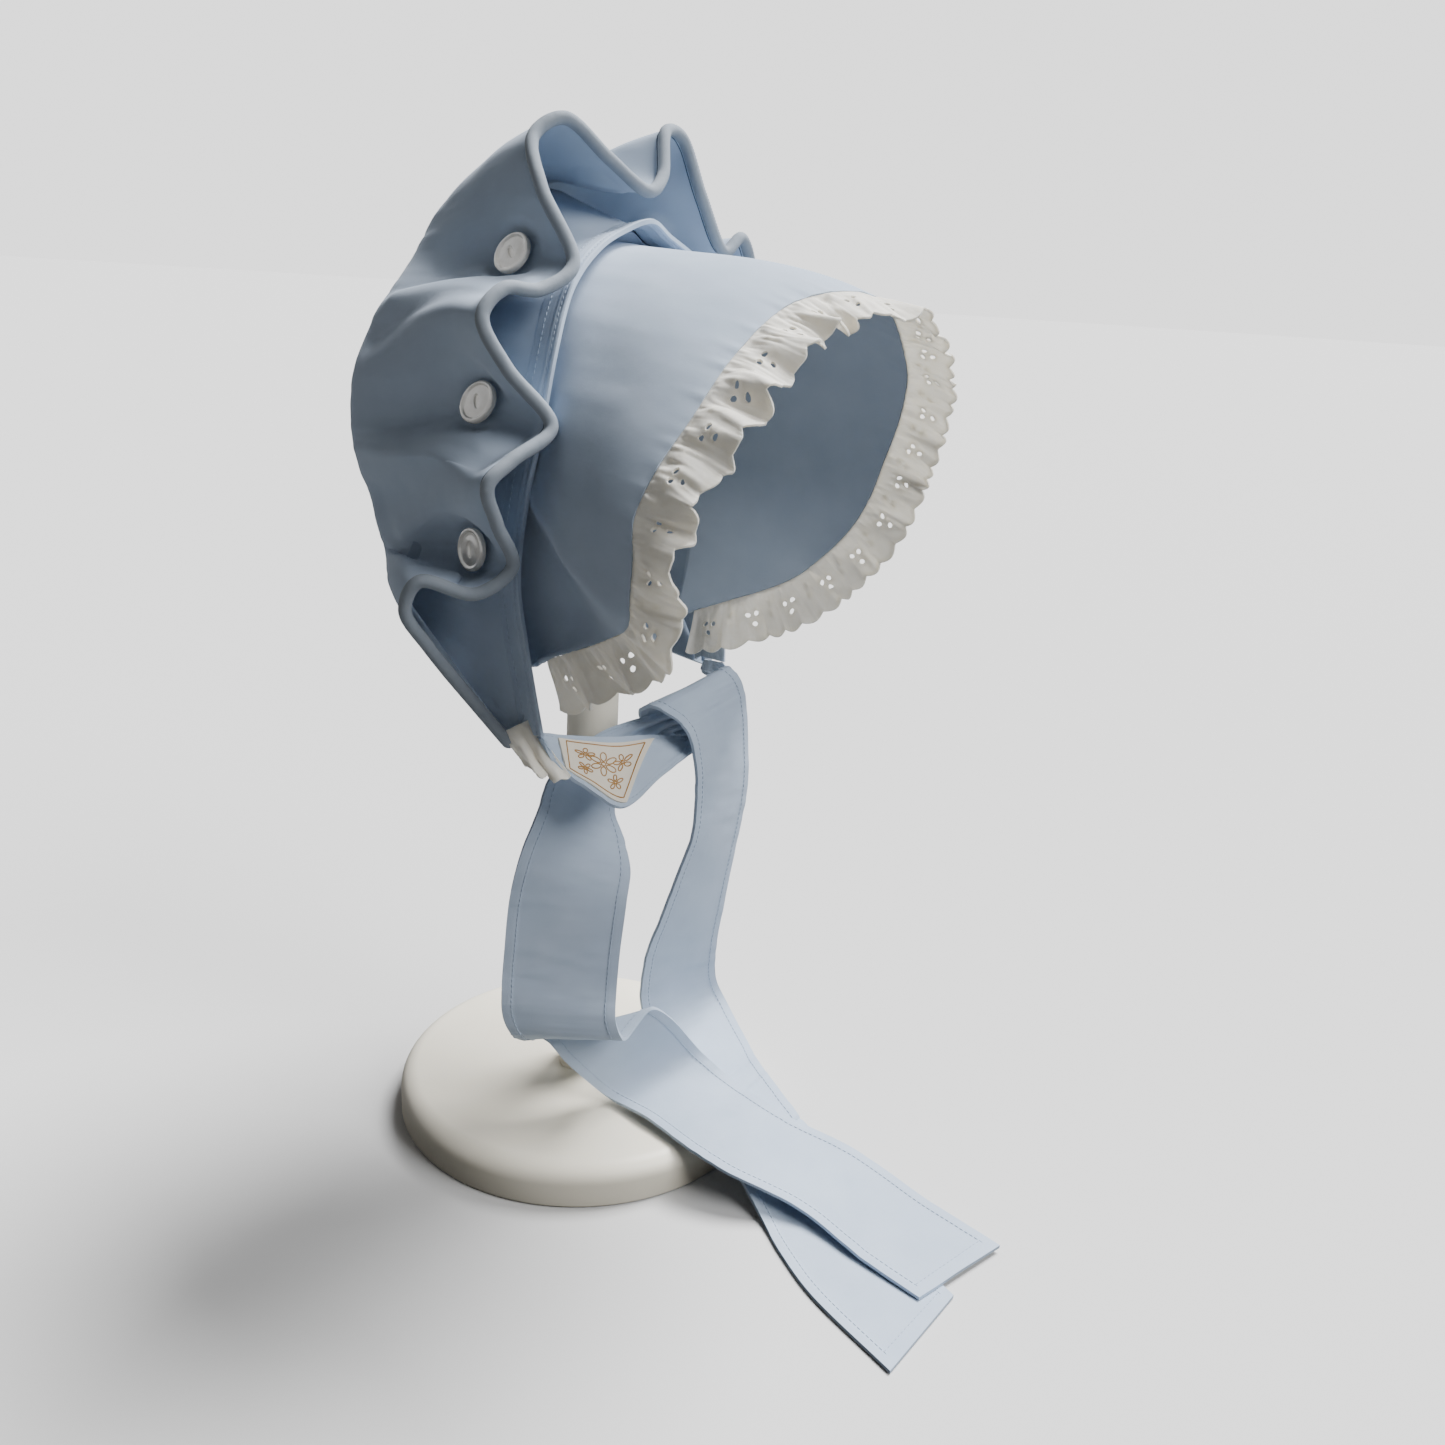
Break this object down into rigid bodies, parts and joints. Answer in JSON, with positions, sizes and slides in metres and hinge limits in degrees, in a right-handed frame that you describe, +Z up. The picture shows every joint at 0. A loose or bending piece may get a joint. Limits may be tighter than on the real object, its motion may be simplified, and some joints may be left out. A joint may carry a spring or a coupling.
{
  "type": "bonnet on a hat stand",
  "caption": "Cotton bonnet with a wavy piped crown edge, a visor brim edged with gathered eyelet lace, pearl buttons and wide ties, on a round wooden hat stand.",
  "frame": {"origin": "centre of the underside of the stand's base", "axes": "+Z up, the bonnet's face opening towards -Y, the wearer's right side towards -X"},
  "size_m": [0.249, 0.3288, 0.4864],
  "materials": {
    "blue_cotton": "matte woven cotton",
    "blue_cord": "matte woven cotton over a cord",
    "eyelet_lace": "matte embroidered cotton",
    "label_satin": "satin",
    "pearl": "gloss pearl",
    "painted_wood": "painted off-white, satin"
  },
  "bodies": {
    "root": {"stand_base": "painted_wood", "stand_post": "painted_wood", "stand_top": "painted_wood", "crown": "blue_cotton", "crown_piping": "blue_cord", "band": "blue_cotton", "crown_lining": "blue_cotton", "brim": "blue_cotton", "lace": "eyelet_lace", "lace_end": "eyelet_lace", "tie_near": "blue_cotton", "tie_far": "blue_cotton", "label": "label_satin", "button_1": "pearl", "button_2": "pearl", "button_3": "pearl", "button_4": "pearl", "button_5": "pearl", "button_6": "pearl", "button_7": "pearl"}
  },
  "joints": []
}
